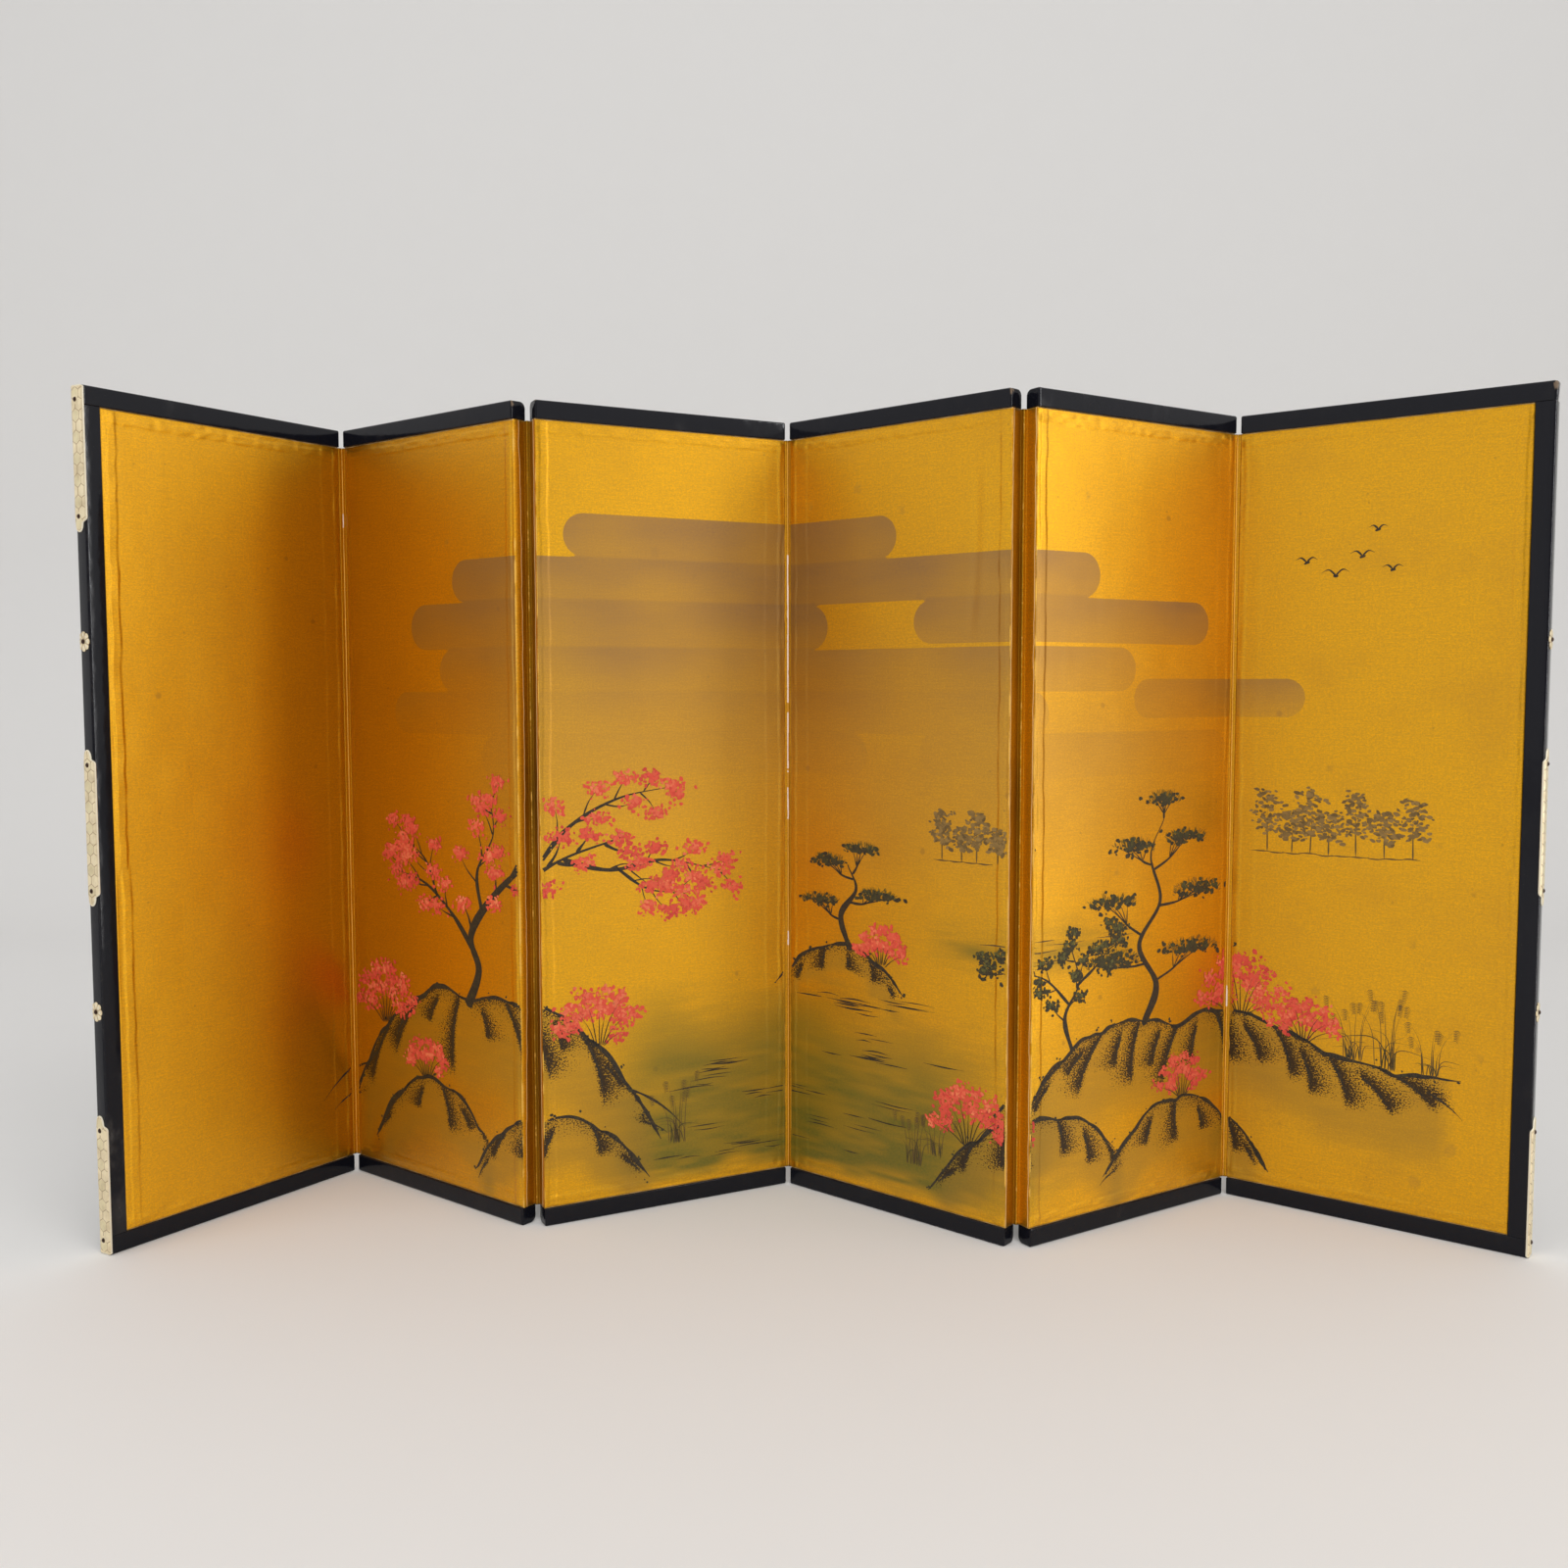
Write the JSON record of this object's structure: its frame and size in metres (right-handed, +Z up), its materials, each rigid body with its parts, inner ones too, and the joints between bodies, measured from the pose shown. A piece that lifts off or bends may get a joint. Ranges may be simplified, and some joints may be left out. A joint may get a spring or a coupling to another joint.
{
  "type": "folding screen",
  "caption": "Small tabletop folding screen: gold-clad lattice panels with lacquered rails, joined edge to edge by cloth hinges, with metal fittings on its outer edges.",
  "frame": {"origin": "centre of the footprint of the open screen, on the surface that it stands on", "axes": "+Z up, +X across the screen to its right as its painted faces are looked at, the painted faces look towards -Y"},
  "size_m": [0.7618, 0.1482, 0.455],
  "materials": {
    "black_lacquer": "black lacquer over wood, glossy, rubbed at the corners",
    "gold_cloth": "satin metallic weave with a painted landscape",
    "back_paper": "matte patterned paper",
    "hinge_cloth": "satin gold cloth with pale raw edges",
    "liner_paper": "layers of pasted paper, matte",
    "lattice_wood": "sawn softwood, bare",
    "bamboo": "split bamboo, bare",
    "pale_brass": "embossed sheet, pale gilt, dull",
    "dark_brass": "dark patinated nail heads"
  },
  "bodies": {
    "panel_1": {"lattice_1": "lattice_wood", "liner_1": "liner_paper", "face_cloth_1": "gold_cloth", "back_paper_1": "back_paper", "top_rail_1": "black_lacquer", "bottom_rail_1": "black_lacquer", "frame_pegs_1": "bamboo", "left_stile": "black_lacquer", "left_top_plate": "pale_brass", "left_middle_plate": "pale_brass", "left_bottom_plate": "pale_brass", "left_flowers": "pale_brass", "left_nails": "dark_brass"},
    "panel_2": {"lattice_2": "lattice_wood", "liner_2": "liner_paper", "face_cloth_2": "gold_cloth", "back_paper_2": "back_paper", "top_rail_2": "black_lacquer", "bottom_rail_2": "black_lacquer", "frame_pegs_2": "bamboo", "hinge_cloth_1": "hinge_cloth"},
    "panel_3": {"lattice_3": "lattice_wood", "liner_3": "liner_paper", "face_cloth_3": "gold_cloth", "back_paper_3": "back_paper", "top_rail_3": "black_lacquer", "bottom_rail_3": "black_lacquer", "frame_pegs_3": "bamboo", "hinge_cloth_2": "hinge_cloth", "hinge_cloth_3": "hinge_cloth"},
    "panel_4": {"lattice_4": "lattice_wood", "liner_4": "liner_paper", "face_cloth_4": "gold_cloth", "back_paper_4": "back_paper", "top_rail_4": "black_lacquer", "bottom_rail_4": "black_lacquer", "frame_pegs_4": "bamboo", "hinge_cloth_4": "hinge_cloth"},
    "panel_5": {"lattice_5": "lattice_wood", "liner_5": "liner_paper", "face_cloth_5": "gold_cloth", "back_paper_5": "back_paper", "top_rail_5": "black_lacquer", "bottom_rail_5": "black_lacquer", "frame_pegs_5": "bamboo", "hinge_cloth_5": "hinge_cloth"},
    "panel_6": {"lattice_6": "lattice_wood", "liner_6": "liner_paper", "face_cloth_6": "gold_cloth", "back_paper_6": "back_paper", "top_rail_6": "black_lacquer", "bottom_rail_6": "black_lacquer", "frame_pegs_6": "bamboo", "right_stile": "black_lacquer", "right_middle_plate": "pale_brass", "right_bottom_plate": "pale_brass", "right_flowers": "pale_brass", "right_nails": "dark_brass"}
  },
  "joints": [
    {"name": "fold_3", "type": "hinge", "parent": "panel_3", "child": "panel_4", "pos_m": [-0.01324, 0.04196, 0.2275], "axis": [0, 0, -1], "range_deg": [-68.3, 111.7], "deforming": ["hinge_cloth_3"]},
    {"name": "fold_4", "type": "hinge", "parent": "panel_4", "child": "panel_5", "pos_m": [0.10995, -0.05073, 0.2275], "axis": [0, 0, 1], "range_deg": [-73.5, 106.5], "deforming": ["hinge_cloth_4"]},
    {"name": "fold_5", "type": "hinge", "parent": "panel_5", "child": "panel_6", "pos_m": [0.24523, 0.02321, 0.2275], "axis": [0, 0, -1], "range_deg": [-69.5, 110.5], "deforming": ["hinge_cloth_5"]},
    {"name": "fold_2", "type": "hinge", "parent": "panel_3", "child": "panel_2", "pos_m": [-0.15466, -0.01941, 0.2275], "axis": [0, 0, -1], "range_deg": [-65.4, 114.6], "deforming": ["hinge_cloth_2"]},
    {"name": "fold_1", "type": "hinge", "parent": "panel_2", "child": "panel_1", "pos_m": [-0.28238, 0.06693, 0.2275], "axis": [0, 0, 1], "range_deg": [-94.2, 85.8], "deforming": ["hinge_cloth_1"]}
  ]
}
